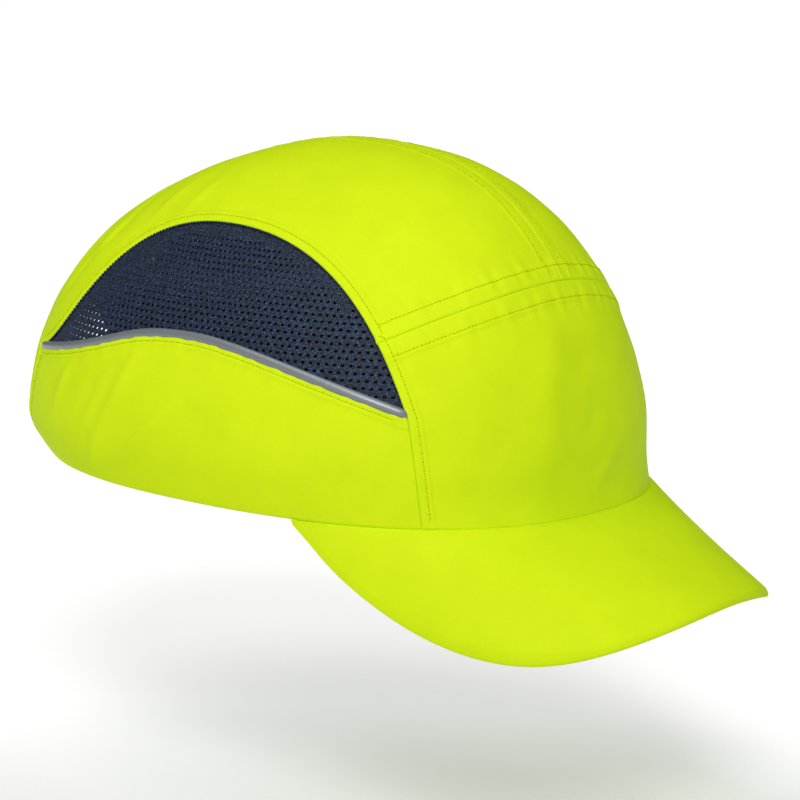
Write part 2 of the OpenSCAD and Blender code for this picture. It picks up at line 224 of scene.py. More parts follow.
# Where the seam over the forehead meets the front edge of the mesh
edge_angle, _ = place_of(mesh_front)
over_seam = mesh_front[:, 2] >= front_seam(edge_angle)[:, 2]
meeting = int(np.argmax(over_seam))
meeting_angle = float(edge_angle[meeting])
forehead_half = front_seam(np.linspace(0, meeting_angle, 90))
mesh_front[meeting] = forehead_half[-1]
mesh_lower_front, mesh_upper = mesh_front[:meeting + 1], joined(mesh_front[meeting:], mesh_rear)

HEM = float(slope_of(0))
# The folded cloth hangs a little lower than the hem plane, and lies a little under the CAD's face. At the
# rear arch it is set back a little, under the binding.
HEM_DROP, LIE, SET_BACK = 0.6, -0.3, 0.6
HEM_EDGE = float(slope_of(-HEM_DROP))


def down_to_hem(corner, angle):
    start_angle, start_slope = place_of(corner)
    t = np.linspace(0, 1, 60)
    return crown(start_angle + (angle - start_angle) * t, start_slope + (HEM_EDGE - start_slope) * t)


bend = np.linspace(FRONT_CORNER, SEAM_BEND, 6)
side_seam = joined(from_side(bend), down_to_hem(from_side(SEAM_BEND[None])[0], SIDE_SEAM_ANGLE))
rear_seam = down_to_hem(piping[-1], REAR_SEAM_ANGLE)


def arch(off):
    """The edge of the rear arch from its foot to its top, set back by off from the binding."""
    upright = from_rear(ARCH_W + off, np.linspace(-HEM_DROP, ARCH_STRAIGHT, 20))
    turn = np.radians(np.linspace(0, 90, 60))
    curve = from_rear((ARCH_W + off) * np.cos(turn),
                      ARCH_STRAIGHT + (ARCH_H + off - ARCH_STRAIGHT) * np.sin(turn))
    return joined(upright, curve)


arch_edge = arch(SET_BACK)
centre_front = crown(0, np.linspace(float(place_of(forehead_half[0])[1]), 0.05, 80))
centre_rear = crown(180, np.linspace(0.05, float(slope_of(ARCH_H + SET_BACK)), 120))
centre_seam = joined(centre_front, centre_rear)


def beside(line, distance):
    """A line on the crown, distance away to the right of line as one goes along it, seen from outside."""
    along = unit(np.gradient(line, axis=0))
    return project(line + np.cross(along, normal_at(line)) * distance)


def mirrored(points):
    """The same points on the wearer's other side."""
    return points * np.array((-1, 1, 1))


# ---- Making pieces ----

def closed(outer, inner, wrap=False):
    """Vertices and quads of the solid between two grids of points."""
    n = outer.shape[0] * outer.shape[1]
    index = np.arange(n).reshape(outer.shape[:2])
    if wrap:
        index = np.vstack([index, index[:1]])
    a, b, c, d = index[:-1, :-1], index[1:, :-1], index[1:, 1:], index[:-1, 1:]
    skin = np.stack([a, b, c, d], -1).reshape(-1, 4)
    rims = [(index[1:, 0], index[:-1, 0]), (index[:-1, -1], index[1:, -1])]
    if not wrap:
        rims += [(index[-1, 1:], index[-1, :-1]), (index[0, :-1], index[0, 1:])]
    walls = [np.stack([p, q, q + n, p + n], -1) for p, q in rims]
    verts = np.concatenate([outer.reshape(-1, 3), inner.reshape(-1, 3)])
    return verts, np.concatenate([skin, skin[:, ::-1] + n] + walls)


def grid_uv(grid):
    """Distances in metres along each row and column of a grid from its middle, for the weave of cloth."""
    def run(axis):
        steps = np.linalg.norm(np.diff(grid, axis=axis), axis=-1)
        total = np.cumsum(np.insert(steps, 0, 0, axis=axis), axis=axis)
        return (total - np.take(total, [grid.shape[axis] // 2], axis=axis)) * MM
    return np.stack([run(0), run(1)], -1).reshape(-1, 2)


def signed_volume(verts, faces):
    first = verts[faces[:, 0]]
    total = 0.0
    for k in range(1, faces.shape[1] - 1):
        total += np.einsum("ij,ij->", first, np.cross(verts[faces[:, k]], verts[faces[:, k + 1]]))
    return total


def piece(name, verts, faces, look, slot, body="cap", in_cad=True, uv=None, crease=40, weld=False,
          triangles=()):
    """A smooth mesh object of the cap, its faces outwards. An inner face has the outer one's places in uv."""
    kinds = [np.asarray(kind) for kind in (faces, triangles) if len(kind)]
    if sum(signed_volume(verts, kind) for kind in kinds) < 0:
        kinds = [kind[:, ::-1] for kind in kinds]
    mesh = bpy.data.meshes.new(name)
    mesh.from_pydata((verts * MM).tolist(), [], [face for kind in kinds for face in kind.tolist()])
    if uv is not None:
        layer = mesh.uv_layers.new(name="cloth")
        corner = np.empty(len(mesh.loops), int)
        mesh.loops.foreach_get("vertex_index", corner)
        layer.data.foreach_set("uv", np.resize(uv, (len(verts), 2))[corner].ravel())
    if weld:
        bm = bmesh.new()
        bm.from_mesh(mesh)
        bmesh.ops.remove_doubles(bm, verts=bm.verts, dist=0.02 * MM)
        bmesh.ops.dissolve_degenerate(bm, edges=bm.edges, dist=0.005 * MM)
        bm.to_mesh(mesh)
        bm.free()
    mesh.shade_smooth()
    mesh.set_sharp_from_angle(angle=math.radians(crease))
    mesh.materials.append(look.material)
    obj = bpy.data.objects.new(name, mesh)
    bpy.context.scene.collection.objects.link(obj)
    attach(obj, body)
    if in_cad:
        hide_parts(name)
    return obj


def tube_quads(index):
    """Quads of a tube whose rings are the rows of index."""
    index = np.hstack([index, index[:, :1]])
    return np.stack([index[:-1, :-1], index[:-1, 1:], index[1:, 1:], index[1:, :-1]], -1).reshape(-1, 4)


def swept(line, normals, section):
    """Vertices and quads of a section, as (across, outward) points, carried along a line."""
    along = unit(np.gradient(line, axis=0))
    across = unit(np.cross(along, normals))
    up = np.cross(across, along)
    rings = (line[:, None] + across[:, None] * section[None, :, :1] + up[:, None] * section[None, :, 1:])
    n, k = rings.shape[:2]
    index = np.arange(n * k).reshape(n, k)
    # Each end is closed by a strip of quads between the two halves of its ring
    caps = []
    for ring, turn in ((index[0], 1), (index[-1], -1)):
        for j in range(k // 2 - 1):
            caps.append([ring[j], ring[j + 1], ring[k - 2 - j], ring[k - 1 - j]][::-turn])
    return rings.reshape(-1, 3), np.concatenate([tube_quads(index), np.array(caps)])


def oval(width, height, n=16, squareness=2.0):
    turn = 2 * np.pi * (np.arange(n) + 0.5) / n
    c, s = np.cos(turn), np.sin(turn)
    return np.stack([np.sign(c) * np.abs(c) ** (2 / squareness) * width / 2,
                     np.sign(s) * np.abs(s) ** (2 / squareness) * height / 2], -1)


def near(points, line):
    """Distance of each point from a line, and how far along the line its nearest point is."""
    at = distances(line)
    flat = points.reshape(-1, 3)
    k = np.concatenate([((part[:, None] - line[None]) ** 2).sum(-1).argmin(1)
                        for part in np.array_split(flat, max(1, len(flat) // 4000))])
    best, where = np.full(len(flat), np.inf), np.zeros(len(flat))
    for start in (np.maximum(k - 1, 0), np.minimum(k, len(line) - 2)):
        a, b = line[start], line[start + 1]
        t = np.clip(((flat - a) * (b - a)).sum(1) / np.maximum(((b - a) ** 2).sum(1), 1e-12), 0, 1)
        d = np.linalg.norm(flat - a - (b - a) * t[:, None], axis=1)
        closer = d < best
        best = np.where(closer, d, best)
        where = np.where(closer, at[start] + t * (at[start + 1] - at[start]), where)
    return best.reshape(points.shape[:-1]), where.reshape(points.shape[:-1])


def waves(x, period, seed):
    """A smooth uneven ripple between about -1 and 1 along x."""
    total = 0.0
    for k, (stretch, weight) in enumerate(((1, 0.5), (1.73, 0.3), (0.61, 0.35))):
        total = total + weight * np.sin(2 * np.pi * x / (period * stretch) + seed * 1.9 + k * 2.3)
    return total


def rumple(points, period, seed):
    """A smooth uneven field over space, between about -1 and 1."""
    rng = np.random.default_rng(seed)
    total = 0.0
    for _ in range(7):
        way = unit(rng.normal(size=3)) * 2 * np.pi / (period * rng.uniform(0.7, 1.5))
        total = total + np.sin(points @ way + rng.uniform(0, 6.28))
    return total / 3.2


def crowded(n, pull):
    """Numbers from -1 to 1 that come closer together at both ends, the more so the greater pull is."""
    even = np.linspace(-1, 1, n)
    return np.sin(even * np.pi / 2) * pull + even * (1 - pull)


def smooth(x):
    x = np.clip(x, 0, 1)
    return x * x * (3 - 2 * x)


# ---- Dressing cloth panels with seams, stitches and wrinkles ----

STITCH_PITCH, THREAD_LIFT = 2.8, 0.05
# Rows of stitches, by their distance from the seam
FRONT_ROW, CROWN_ROW, CENTRE_ROW, EDGE_ROW, PIPING_ROW = 6.0, 5.6, 5.0, 2.9, 2.8
# The fold of the cloth at a seam, the dip along a row, and the ripple that the thread draws up
FOLD_RADIUS, FOLD_DEPTH = 0.8, 0.6
ROW_DIP, ROW_DIP_W = 0.18, 0.6
PUCKER_PERIOD, PUCKER_W = 8.5, 4.5
# Steps of the cloth's grids, which are finer within reach of an edge
STEP, FINE_REACH = 1.15, 8


class Seam:
    """A seam on the edge of a panel: the cloth folds under at it, lies thicker over the turned-in
    allowance, and dips along its rows of topstitching."""

    def __init__(self, line, rows=(), allowance=0.0, lift=0.3, pucker=0.12, seed=1, fold=1.0):
        self.line, self.rows, self.allowance, self.lift = line, rows, allowance, lift
        self.pucker, self.seed, self.fold = pucker, seed, fold

    def height(self, points):
        d, s = near(points, self.line)
        round_edge = 1 - np.sqrt(1 - (1 - np.clip(d / FOLD_RADIUS, 0, 1)) ** 2)
        h = -self.fold * FOLD_DEPTH * round_edge
        if self.allowance:
            h = h + self.lift * smooth((self.allowance + 0.7 - d) / 1.1)
        for row in self.rows:
            h = h - ROW_DIP * np.exp(-((d - row) / ROW_DIP_W) ** 2)
            ripple = waves(s, PUCKER_PERIOD, self.seed) * np.exp(-((d - row) / PUCKER_W) ** 2)
            h = h + self.pucker * ripple * smooth(d / 1.5)
        return h


def crease(points, start, end, width, height):
    """A soft ridge, or a furrow where height is negative, between two (angle, z) places."""
    ends = crown(np.array((start[0], end[0])), slope_of(np.array((start[1], end[1]))))
    d, s = near(points, resample(ends, np.linspace(0, 1, 12)))
    span = length_of(ends)
    return height * np.exp(-(d / width) ** 2) * np.sin(np.pi * np.clip(s / span, 0.06, 0.94)) ** 0.7


def stations(length):
    """Shares of a length, closer together near its ends so that folds and stitch rows come out."""
    close = np.concatenate([(0, 0.12, 0.3, 0.55, 0.85), np.arange(1.2, FINE_REACH, 0.45)])
    close = close[close < length / 2 - 0.3]
    last = length - close[::-1]
    n = max(2, int((last[0] - close[-1]) / STEP))
    return np.concatenate([close, np.linspace(close[-1], last[0], n + 1)[1:-1], last]) / length


def coons(lower, upper, left, right):
    """A grid of points on the crown between four lines that meet at their ends."""
    fs = stations(max(length_of(lower), length_of(upper)))
    ft = stations(max(length_of(left), length_of(right)))
    low, high = resample(lower, fs)[:, None], resample(upper, fs)[:, None]
    near_side, far_side = resample(left, ft)[None], resample(right, ft)[None]
    s, t = fs[:, None, None], ft[None, :, None]
    corners = ((1 - s) * (1 - t) * lower[0] + s * (1 - t) * lower[-1]
               + (1 - s) * t * upper[0] + s * t * upper[-1])
    return project((1 - t) * low + t * high + (1 - s) * near_side + s * far_side - corners)


cloth_pieces = []


def panel(name, grid, seams, creases, seed, mirror=False):
    """A cloth panel that follows the crown, with its seams and wrinkles in its shape."""
    out = normal_at(grid)
    height, inside = np.zeros(grid.shape[:2]), np.ones(grid.shape[:2])
    for seam in seams:
        height = height + seam.height(grid)
        inside = np.minimum(inside, smooth((near(grid, seam.line)[0] - 1) / 6))
    loose = 0.22 * rumple(grid, 46, seed) + 0.1 * rumple(grid, 17, seed + 1)
    for mark in creases:
        loose = loose + crease(grid, *mark)
    height = height + loose * inside
    outer = grid + out * (height + LIE)[..., None]
    inner = grid - out * CLOTH_T
    if mirror:
        outer, inner = mirrored(outer), mirrored(inner)
    obj = piece(name, *closed(outer, inner), cloth, "cloth", uv=grid_uv(grid))
    cloth_pieces.append(obj)


def hem(start, end):
    return crown(np.linspace(start, end, 90), HEM_EDGE)


# ---- Materials ----

class Look:
    """A material whose colour, roughness and bump come from shader nodes."""

    def __init__(self, name, colour, roughness, **inputs):
        self.material = bpy.data.materials.new(name)
        self.material.use_nodes = True
        self.nodes, self.links = self.material.node_tree.nodes, self.material.node_tree.links
        self.shader = self.nodes["Principled BSDF"]
        self.colour = colour
        self.shader.inputs["Base Color"].default_value = (*colour, 1)
        self.shader.inputs["Roughness"].default_value = roughness
        for key, value in inputs.items():
            self.shader.inputs[key.replace("_", " ")].default_value = value

    def node(self, kind, **inputs):
        node = self.nodes.new("ShaderNode" + kind)
        for key, value in inputs.items():
            if key in ("operation", "data_type"):
                setattr(node, key, value)
            else:
                socket = node.inputs[int(key[1:]) if key[1:].isdigit() else key.replace("_", " ")]
                if isinstance(value, bpy.types.NodeSocket):
                    self.links.new(value, socket)
                else:
                    socket.default_value = value
        return node

    def maths(self, operation, a, b=0.0):
        return self.node("Math", operation=operation, i0=a, i1=b).outputs[0]

    def place(self):
        return self.node("TexCoord").outputs["Object"]

    def noise(self, size_mm, detail=2.0, rough=0.5):
        """Noise with lumps of about that size."""
        return self.node("TexNoise", Vector=self.place(), Scale=1 / (size_mm * MM), Detail=detail,
                         Roughness=rough).outputs["Fac"]

    def weave(self, pitch_mm, ratio=1.0):
        """Plain weave: threads of that pitch pass over and under each other."""
        uv = self.node("SeparateXYZ", Vector=self.node("UVMap").outputs["UV"])
        k = math.pi / (pitch_mm * MM)
        across = self.maths("SINE", self.maths("MULTIPLY", uv.outputs["X"], k))
        along = self.maths("SINE", self.maths("MULTIPLY", uv.outputs["Y"], k * ratio))
        return self.maths("MULTIPLY", across, along)

    def tint(self, factor, darker, lighter):
        """The base colour runs between two shares of itself as factor goes from 0 to 1."""
        mix = self.node("Mix", data_type="RGBA")
        self.links.new(factor, mix.inputs[0])
        for socket, share_of in ((6, darker), (7, lighter)):
            mix.inputs[socket].default_value = (*(min(1, c * share_of) for c in self.colour), 1)
        self.links.new(mix.outputs[2], self.shader.inputs["Base Color"])
        return self

    def bump(self, height, depth_mm):
        """Relief of that depth, on top of what the look has already."""
        normal = self.shader.inputs["Normal"]
        before = normal.links[0].from_socket if normal.links else None
        node = self.node("Bump", Height=height, Distance=depth_mm * MM)
        if before:
            self.links.new(before, node.inputs["Normal"])
        self.links.new(node.outputs["Normal"], normal)
        return self


def fluorescent(name, colour):
    """Dyed fluorescent cloth with a painted green glow: a constant emission, lit or not, that lifts its shade
    and makes it greener.
    """
    look = Look(name, colour, 0.55, Emission_Color=(0, 0.1, 0, 1), Emission_Strength=1.0,
                Specular_IOR_Level=0.02)
    spread = look.maths("ADD", look.maths("MULTIPLY", look.noise(14, 3), 0.6),
                        look.maths("MULTIPLY", look.noise(0.5, 2, 0.6), 0.4))
    return look.tint(spread, 0.87, 1.07).bump(look.noise(0.6, 2, 0.6), 0.01).bump(look.weave(0.33), 0.013)


def grained(name, colour, roughness, grain, shades, relief, depth, **inputs):
    """A look with a grain between two shades and a relief, each given as the size and detail of its noise."""
    look = Look(name, colour, roughness, **inputs)
    return look.tint(look.noise(*grain), *shades).bump(look.noise(*relief), depth)


# The cloth and the binding both carry the painted green glow that lifts their shade.
cloth = fluorescent("fluorescent_cloth", (0.7, 0.79, 0.01))
# The thread is painted a little darker than the cloth, for the shade in the dips round it, and has a painted
# green glow that lifts its shade.
thread = Look("sewing_thread", (0.56, 0.64, 0.0), 0.7, Emission_Color=(0, 0.06, 0, 1), Emission_Strength=1.0,
              Specular_IOR_Level=0.05)
thread.bump(thread.noise(0.2), 0.05)
# Dark dots of painted shade at the needle holes, for the shade in the pits where the thread goes down.
painted_hole_shade = Look("needle_holes", (0.42, 0.48, 0.0), 0.9, Specular_IOR_Level=0.0)
painted_hole_shade.tint(painted_hole_shade.noise(0.5), 0.8, 1.2)
dark_thread = Look("dark_thread", (0.03, 0.03, 0.033), 0.6)
dark_thread.bump(dark_thread.noise(0.2), 0.05)
binding_cloth = fluorescent("binding_cloth", (0.67, 0.77, 0.01))

knit = Look("mesh_knit", (0.008, 0.0145, 0.031), 0.6, Specular_IOR_Level=0.3)
# Lighter specks on the knit are painted sheen, highlights on its yarn; the base between them is painted
# darker.
painted_sheen_specks = knit.node("MapRange", i0=knit.noise(0.5, 2, 0.7), i1=0.5, i2=0.68).outputs[0]
knit.tint(painted_sheen_specks, 0.6, 7.5).bump(knit.noise(0.4, 2, 0.7), 0.2)

silver = grained("reflective_tape", (0.24, 0.265, 0.28), 0.42, (0.35, 2, 0.7), (0.85, 1.15), (0.3, 1), 0.03,
                 Metallic=0.35, Coat_Weight=0.1)

webbing = Look("webbing", (0.02, 0.02, 0.022), 0.65, Sheen_Weight=0.3)
ribs = webbing.weave(1.0, 1.6)
webbing.tint(ribs, 0.7, 1.5).bump(ribs, 0.22).bump(webbing.noise(0.3), 0.05)

tape = Look("seam_tape", (0.022, 0.022, 0.024), 0.5, Sheen_Weight=0.3)
twill = tape.weave(0.5)
tape.tint(twill, 0.8, 1.4).bump(twill, 0.08)

terry = grained("terry", (0.017, 0.017, 0.019), 0.92, (1.1, 2, 0.6), (0.6, 1.8), (0.9, 3, 0.7), 0.5,
                Sheen_Weight=0.6, Sheen_Roughness=0.6)
foam = grained("pad_foam", (0.045, 0.047, 0.052), 0.85, (0.8, 3, 0.7), (0.7, 1.4), (0.6, 3, 0.7), 0.18,
               Sheen_Weight=0.2)
band_foam = grained("band_foam", (0.1, 0.105, 0.11), 0.9, (0.9, 3, 0.7), (0.75, 1.3), (0.8, 3, 0.7), 0.2)
board = grained("peak_board", (0.09, 0.095, 0.1), 0.45, (3, 2), (0.9, 1.1), (0.8,), 0.03)
loops = grained("loop_pile", (0.02, 0.02, 0.022), 0.95, (0.7, 3, 0.8), (0.5, 2.2), (0.6, 3, 0.8), 0.5,
                Sheen_Weight=0.8, Sheen_Roughness=0.5)

plastic = Look("shell_plastic", (0.014, 0.014, 0.015), 0.36, Specular_IOR_Level=0.5)
plastic.links.new(plastic.node("MapRange", i0=plastic.noise(9, 3), i3=0.3, i4=0.44).outputs[0],
                  plastic.shader.inputs["Roughness"])
plastic.bump(plastic.noise(0.5, 2), 0.025).bump(plastic.noise(24, 1), 0.3)

hooks = Look("hooks", (0.018, 0.018, 0.02), 0.45)
rows_of_hooks = hooks.weave(0.8)
hooks.tint(rows_of_hooks, 0.6, 2.0).bump(rows_of_hooks, 0.5)


# ---- Stitches ----

def dashes(name, rows, look, slot, pitch, share_of, radius, first, sink):
    """Short round threads along rows of (points, normals), their ends sunk in the cloth. Each covers a share
    of the pitch, and the first starts at a share of it too."""
    turn = 2 * np.pi * np.arange(6) / 6
    sink = np.array((-sink, 0, 0.05, 0, -sink))
    girth = np.array((0.7, 1, 1, 1, 0.7)) * radius
    verts, faces = [], []
    for line, out in rows:
        at = distances(line)
        for start in np.arange(pitch * first, at[-1] - pitch, pitch):
            where = start + pitch * share_of * np.linspace(0, 1, 5)
            up = unit(between(where, at, out))
            spine = between(where, at, line) + up * sink[:, None]
            side = unit(np.cross(np.gradient(spine, axis=0), up))
            top = unit(np.cross(side, np.gradient(spine, axis=0)))
            ring = (spine[:, None] + (side[:, None] * np.cos(turn)[None, :, None]
                                      + top[:, None] * np.sin(turn)[None, :, None]) * girth[:, None, None])
            index = len(verts) * 30 + np.arange(30).reshape(5, 6)
            ends = [index[0, [3, 2, 1, 0]], index[0, [5, 4, 3, 0]],
                    index[4, [0, 1, 2, 3]], index[4, [0, 3, 4, 5]]]
            verts.append(ring.reshape(-1, 3))
            faces.append(np.concatenate([tube_quads(index), np.array(ends)]))
    piece(name, np.concatenate(verts), np.concatenate(faces), look, slot, in_cad=False)


def stitches(name, rows, thread_look, shade_look_for_holes, slot, pitch=STITCH_PITCH, radius=0.17):
    """Rows of stitches, with a dark dot of painted shade at each needle hole, for the shade in the pit where
    each thread goes down.
    """
    dashes(name, rows, thread_look, slot, pitch, share_of=0.76, radius=radius, first=0.6, sink=0.3)
    lower = [(line - out * 0.03, out) for line, out in rows]
    # Short dashes of painted shade sit at the needle holes.
    dashes(name + "_holes", lower, shade_look_for_holes, slot, pitch, share_of=0.22, radius=radius + 0.03,
           first=0.6 + 0.77, sink=0.05)


def row_on(line, distance):
    """A row of stitches on the crown at a distance to the right of a line, and the way out along it."""
    row = resample(beside(line, distance), np.linspace(0.006, 0.994, 260))
    return row, normal_at(row)


def both(rows):
    """The rows and the same on the other side."""
    return rows + [(mirrored(line), mirrored(out)) for line, out in rows]


def laid(rows, cloths):
    """The same rows, moved along their way out until their threads lie on the cloth."""
    verts, faces = [], []
    for obj in cloths:
        faces += [[len(verts) + k for k in face.vertices] for face in obj.data.polygons]
        verts += [v.co / MM for v in obj.data.vertices]
    tree = BVHTree.FromPolygons(verts, faces)
    moved = []
    for line, out in rows:
        spots = []
        for point, way in zip(line, out):
            found = tree.ray_cast(Vector(point + way * 4), Vector(-way), 8)[0]
            spots.append(point if found is None else np.array(found))
        moved.append((np.array(spots) + out * THREAD_LIFT, out))
    return moved


# ---- Cloth panels ----

right_edge = joined(side_seam[::-1], mesh_lower_front)
forehead = joined(forehead_half[::-1], mirrored(forehead_half))
seam_forehead = Seam(forehead, rows=(FRONT_ROW,), allowance=7.3, lift=0.36, pucker=0.32, seed=3)
front_hem = hem(SIDE_SEAM_ANGLE, -SIDE_SEAM_ANGLE)

front_grid = coons(front_hem, forehead, right_edge, mirrored(right_edge))
panel("front_panel", front_grid,
      [seam_forehead, Seam(right_edge, rows=(EDGE_ROW,), allowance=4.4, seed=5),
       Seam(mirrored(right_edge), rows=(EDGE_ROW,), allowance=4.4, seed=6), Seam(front_hem)],
      [((8, 68), (16, 8), 7, 1.3), ((-9, 22), (2, 5), 4, 0.8), ((-2, 36), (4, 22), 4, -0.5),
       ((-1, 54), (4, 40), 3, -0.3), ((-24, 20), (-34, 40), 6, 0.5), ((24, 40), (30, 14), 9, -0.3)],
      11)

far_edge = joined(mesh_upper, rear_seam)
arch_foot_angle = float(place_of(arch_edge[0])[0])
rear_edge = joined(arch_edge[::-1], hem(arch_foot_angle, REAR_SEAM_ANGLE))
crown_grid = coons(forehead_half, rear_edge, centre_seam, far_edge)
crown_creases = [((126, 100), (120, 88), 2.2, 0.6), ((137, 97), (131, 84), 2.6, 0.7),
                 ((151, 92), (140, 77), 2.6, -0.7), ((146, 84), (141, 68), 2.4, 0.7),
                 ((141, 76), (144, 54), 2.4, -0.6), ((150, 80), (149, 60), 3.5, 0.6),
                 ((60, 96), (96, 101), 10, -0.3), ((158, 70), (156, 30), 5, 0.5)]
side_grid = coons(hem(SIDE_SEAM_ANGLE, REAR_SEAM_ANGLE), piping, side_seam[::-1], rear_seam[::-1])
side_creases = [((106, 43), (115, 5), 2.4, 1.55), ((92, 30), (105, 9), 2.8, 1.2),
                ((126, 37), (129, 19), 2.4, 1.0), ((116, 36), (119.5, 17), 2.6, -0.8),
                ((110.5, 36), (117, 8), 3, -0.7), ((50.5, 26), (52, 8), 2.4, -0.35),
                ((84, 40), (92, 10), 7, -0.35), ((62, 12), (80, 30), 8, 0.35)]
for side, flip, seed in (("right", False, 21), ("left", True, 31)):
    panel("crown_panel_" + side, crown_grid,
          [Seam(forehead_half, rows=(CROWN_ROW,), allowance=6.8, lift=0.36, pucker=0.32, seed=seed),
           Seam(centre_seam, rows=(CENTRE_ROW,), allowance=6.2, lift=0.38, seed=seed + 1, fold=0.5),
           Seam(mesh_upper, rows=(EDGE_ROW,), allowance=4.4, seed=seed + 2),
           Seam(rear_seam, rows=(EDGE_ROW,), allowance=4.4, seed=seed + 3),
           Seam(rear_edge, allowance=4, lift=0.15)],
          crown_creases, seed, flip)
    panel("side_panel_" + side, side_grid,
          [Seam(piping, rows=(PIPING_ROW,), allowance=4.2, pucker=0.2, seed=seed + 5), Seam(side_seam),
           Seam(rear_seam), Seam(hem(SIDE_SEAM_ANGLE, REAR_SEAM_ANGLE))],
          side_creases, seed + 6, flip)


CLOTH_THREADS = (thread, painted_hole_shade, "cloth")
for name, rows in (
        ("stitches_forehead", [row_on(forehead, FRONT_ROW), row_on(forehead, -CROWN_ROW)]),
        ("stitches_centre", [row_on(centre_seam, CENTRE_ROW), row_on(centre_seam, -CENTRE_ROW)]),
        ("stitches_mesh_edges", both([row_on(mesh_upper, EDGE_ROW), row_on(right_edge, EDGE_ROW),
                                      row_on(rear_seam, -EDGE_ROW)])),
        ("stitches_piping", both([row_on(piping, -PIPING_ROW)]))):
    stitches(name, laid(rows, cloth_pieces), *CLOTH_THREADS)


# ---- Piping, binding and seam tapes ----


def strip(name, line, depth, section, look, slot):
    """A cord or tape of a given section along a line, its middle at a depth under the crown's outer face."""
    out = normal_at(line)
    verts, faces = swept(line - out * depth, out, section)
    run = distances(line)
    uv = np.stack(np.meshgrid(run, distances(section), indexing="ij"), -1).reshape(-1, 2) * MM
    obj = piece(name, verts, faces, look, slot, uv=uv, crease=60)
    return obj


def sunk(line, length, depth):
    """A line whose ends sink into the cloth."""
    at = distances(line)
    ends = np.minimum(at, at[-1] - at)
    return line - normal_at(line) * (depth * (1 - smooth(ends / length)))[:, None]


def carried_on(line, extra):
    """A line that runs on straight at both ends."""
    first, last = unit(line[0] - line[2]) * extra, unit(line[-1] - line[-3]) * extra
    return np.concatenate([[line[0] + first], line, [line[-1] + last]])


PIPING_W, PIPING_T, PIPING_DEPTH = 3.3, 2.3, 0.55
bead = sunk(resample(carried_on(piping, 1.2), np.linspace(0, 1, 220)), 3.5, 0.8)
piping_section = oval(PIPING_W, PIPING_T, 20)
strip("reflective_piping_right", bead, PIPING_DEPTH, piping_section, silver, "piping")
strip("reflective_piping_left", mirrored(bead), PIPING_DEPTH, piping_section, silver, "piping")

half_arch = arch(0)
whole_arch = joined(half_arch, mirrored(half_arch)[::-1])
BINDING_W, BINDING_T, BINDING_DEPTH, BINDING_ROW = 3.6, 2.1, 0.45, 0.9
binding = strip("rear_arch_binding", resample(whole_arch, np.linspace(0, 1, 200)), BINDING_DEPTH,
                oval(BINDING_W, BINDING_T, 20, 2.6), binding_cloth, "binding")
arch_rows = both([row_on(half_arch, -BINDING_ROW)])
stitches("stitches_arch", laid(arch_rows, [binding]), thread, painted_hole_shade, "binding")

TAPE_DEPTH, TAPE_T = 1.55, 0.5
tape_lines = {
    "centre_seam_tape": (joined(crown(0, np.linspace(float(place_of(forehead_half[0])[1]) - 4, 0.05, 60)),
                                crown(180, np.linspace(0.05, float(slope_of(ARCH_H + 4)), 90))), 12),
    "front_seam_tape": (front_seam(np.linspace(4 - meeting_angle, meeting_angle - 4, 120)), 11),
    "mesh_seam_tape_right": (resample(mesh_upper, np.linspace(0.09, 0.95, 120)), 8),
    "mesh_seam_tape_left": (mirrored(resample(mesh_upper, np.linspace(0.09, 0.95, 120))), 8)}
for name, (line, width) in tape_lines.items():
    line = resample(line, np.linspace(0, 1, 150))
    strip(name, line, TAPE_DEPTH, oval(width, TAPE_T, 28, 6), tape, "tape")


# ---- Mesh inserts ----

